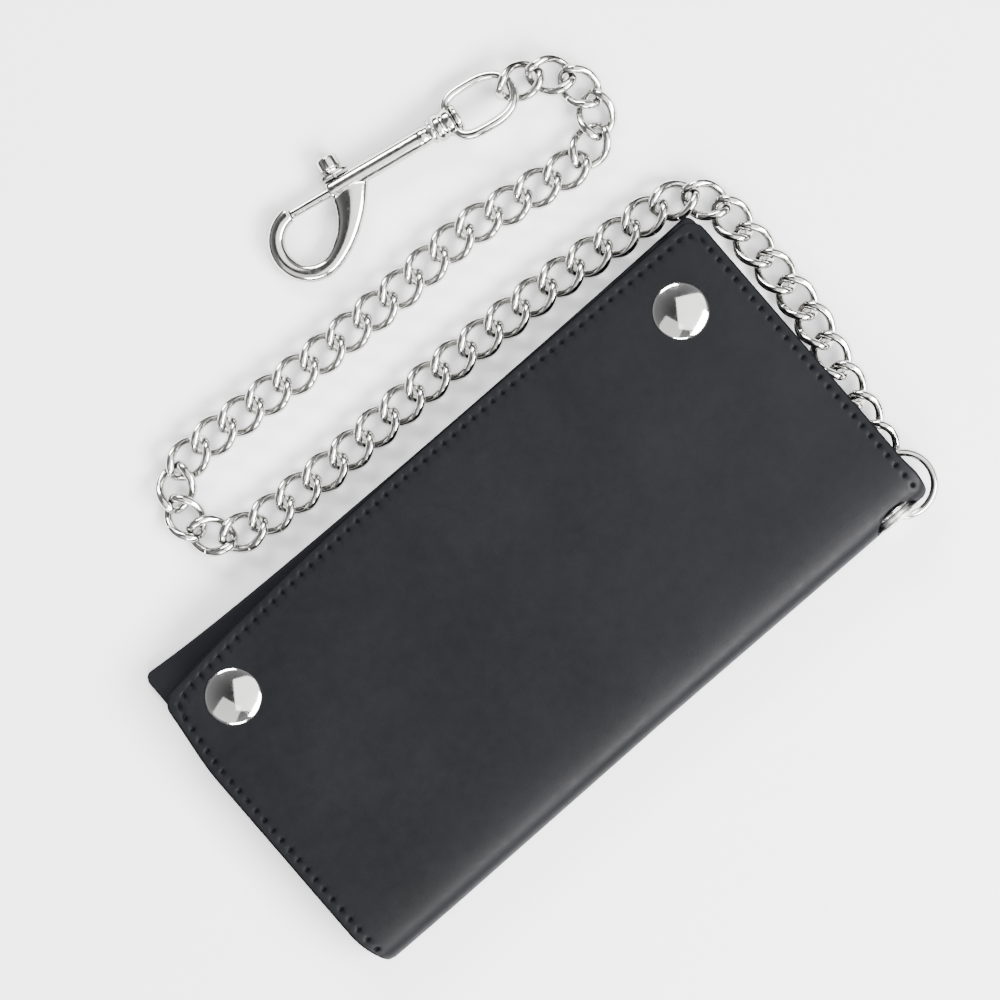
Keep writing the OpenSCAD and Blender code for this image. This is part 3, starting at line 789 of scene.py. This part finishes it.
FLOOR_HALF, FLOOR_Z = 3, -0.0002
corners = [(sx * FLOOR_HALF, sy * FLOOR_HALF, FLOOR_Z) for sx, sy in ((-1, -1), (1, -1), (1, 1), (-1, 1))]
floor_mesh = bpy.data.meshes.new("floor")
floor_mesh.from_pydata(corners, [], [(0, 1, 2, 3)])
floor = bpy.data.objects.new("floor", floor_mesh)
bpy.context.collection.objects.link(floor)
pale = bpy.data.materials.new("pale_floor")
pale.use_nodes = True
for key, value in (("Base Color", (0.95, 0.95, 0.95, 1)), ("Roughness", 0.9), ("Specular IOR Level", 0.1),
                   ("Emission Color", (1, 1, 1, 1)), ("Emission Strength", 0.62)):
    pale.node_tree.nodes["Principled BSDF"].inputs[key].default_value = value
floor_mesh.materials.append(pale)

world = bpy.data.worlds.new("studio")
bpy.context.scene.world = world
world.use_nodes = True
sky = world.node_tree
place = sky.nodes.new("ShaderNodeTexCoord")
split = sky.nodes.new("ShaderNodeSeparateXYZ")
sky.links.new(place.outputs["Generated"], split.inputs[0])
fade = sky.nodes.new("ShaderNodeValToRGB")
for stop, grey in ((0.0, 0.02), (1.0, 0.05), (0.3, 0.06), (0.55, 0.35), (0.85, 0.14)):
    mark = fade.color_ramp.elements[int(stop)] if stop in (0.0, 1.0) else fade.color_ramp.elements.new(stop)
    mark.color = (grey, grey, grey * 1.03, 1)
sky.links.new(split.outputs["Z"], fade.inputs["Fac"])
sky.links.new(fade.outputs["Color"], sky.nodes["Background"].inputs["Color"])
sky.nodes["Background"].inputs["Strength"].default_value = 1.0


def softbox(name, place, target, size, power):
    """A rectangular lamp at a place in metres, turned to its target, with its power in watts."""
    data = bpy.data.lights.new(name, "AREA")
    data.shape = "RECTANGLE"
    data.size, data.size_y = size
    data.energy = power
    obj = bpy.data.objects.new(name, data)
    bpy.context.collection.objects.link(obj)
    obj.location = place
    obj.rotation_euler = (Vector(target) - Vector(place)).to_track_quat("-Z", "Y").to_euler()
    return obj


softbox("window", (0.43, -0.3, 1.2), (0, 0, 0), (1.5, 1.3), 15)
softbox("left_window", (-0.66, -0.25, 1.1), (0, 0, 0), (0.9, 0.85), 2.6)
softbox("upper_light", (0.45, 1.25, 0.9), (0, 0.02, 0), (0.9, 0.45), 34)
softbox("lower_light", (-0.75, -1.0, 0.75), (0, 0.0, 0), (0.7, 0.35), 24)
softbox("fold_light", (0.42, -0.95, 0.92), (0.05, -0.03, 0), (1.2, 0.55), 70)

VIEW_CENTRE, VIEW_WIDTH, VIEW_HEIGHT, VIEW_ROLL = (0.00726, 0.0235), 0.259, 1.3, -40.74
SENSOR = 36
cam_data = bpy.data.cameras.new("camera")
cam_data.sensor_width = SENSOR
cam_data.lens = SENSOR * VIEW_HEIGHT / VIEW_WIDTH
cam_data.clip_end = 20
camera = bpy.data.objects.new("camera", cam_data)
bpy.context.collection.objects.link(camera)
camera.location = (*VIEW_CENTRE, VIEW_HEIGHT)
camera.rotation_euler = (0, 0, math.radians(VIEW_ROLL))
bpy.context.scene.camera = camera

bpy.context.view_layer.update()
